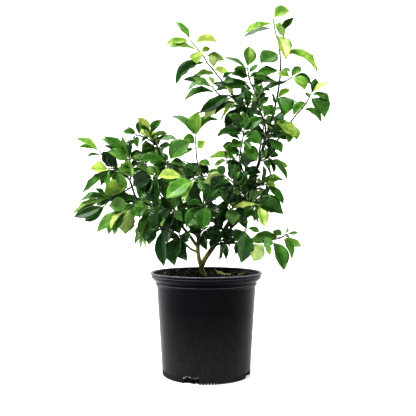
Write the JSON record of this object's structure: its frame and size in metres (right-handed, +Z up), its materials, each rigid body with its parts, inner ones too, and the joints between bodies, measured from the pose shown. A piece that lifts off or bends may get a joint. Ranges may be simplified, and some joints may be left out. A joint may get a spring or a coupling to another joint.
{
  "type": "potted lemon tree",
  "caption": "Young citrus tree with forked trunk and leafy arching stems, growing in a round black nursery pot filled with bark potting mix.",
  "frame": {"origin": "centre of the pot's foot, on the surface that the pot stands on", "axes": "+Z up along the pot's axis; -Y is the front of the plant as pictured; +X to its right"},
  "size_m": [0.6001, 0.3686, 0.8753],
  "materials": {
    "pot_plastic": "semi-gloss black moulded polyethylene with fine upright mould lines",
    "potting_mix": "dark damp bark and peat crumbs",
    "bark": "smooth khaki-green bark, darker on the limbs",
    "leafy_stem": "glossy mid-green leaf with matt pale underside",
    "young_leafy_stem": "glossy yellow-green young leaf",
    "shade_leafy_stem": "glossy dark green leaf",
    "bark_chip": "split red-brown pine bark",
    "fallen_leaf": "dry yellow-green curled leaf"
  },
  "bodies": {
    "root": {"pot": "pot_plastic", "soil": "potting_mix", "trunk": "bark", "stem_leader": "young_leafy_stem", "stem_side_leader": "leafy_stem", "stem_feather": "young_leafy_stem", "stem_hub": "leafy_stem", "stem_centre_right": "leafy_stem", "stem_right_shade": "shade_leafy_stem", "stem_right_arm": "young_leafy_stem", "stem_right_fork": "young_leafy_stem", "stem_right_waist": "leafy_stem", "stem_right_broad": "leafy_stem", "stem_core_right": "shade_leafy_stem", "stem_low_centre": "shade_leafy_stem", "stem_low_right": "leafy_stem", "stem_low_right_hanging": "leafy_stem", "stem_low_right_end": "leafy_stem", "stem_low_right_tip": "young_leafy_stem", "stem_upright": "leafy_stem", "stem_left_top": "young_leafy_stem", "stem_left_waist": "leafy_stem", "stem_left_inner": "leafy_stem", "stem_left_front": "leafy_stem", "stem_low_front": "shade_leafy_stem", "stem_low_stub": "shade_leafy_stem", "stem_low_left": "shade_leafy_stem", "stem_low_left_end": "shade_leafy_stem", "stem_left_shade": "shade_leafy_stem", "stem_left_hanging": "leafy_stem", "stem_left_fringe": "young_leafy_stem", "stem_left_low_far": "young_leafy_stem", "stem_left_far": "leafy_stem", "stem_left_crown": "young_leafy_stem", "stem_left_tip": "young_leafy_stem", "stem_back_left": "shade_leafy_stem", "stem_back_left_top": "leafy_stem", "stem_back_centre": "shade_leafy_stem", "stem_back_right": "leafy_stem", "stem_back_top": "leafy_stem", "bark_chip_1": "bark_chip", "bark_chip_2": "bark_chip", "bark_chip_3": "bark_chip", "bark_chip_4": "bark_chip", "fallen_leaf": "fallen_leaf"}
  },
  "joints": []
}
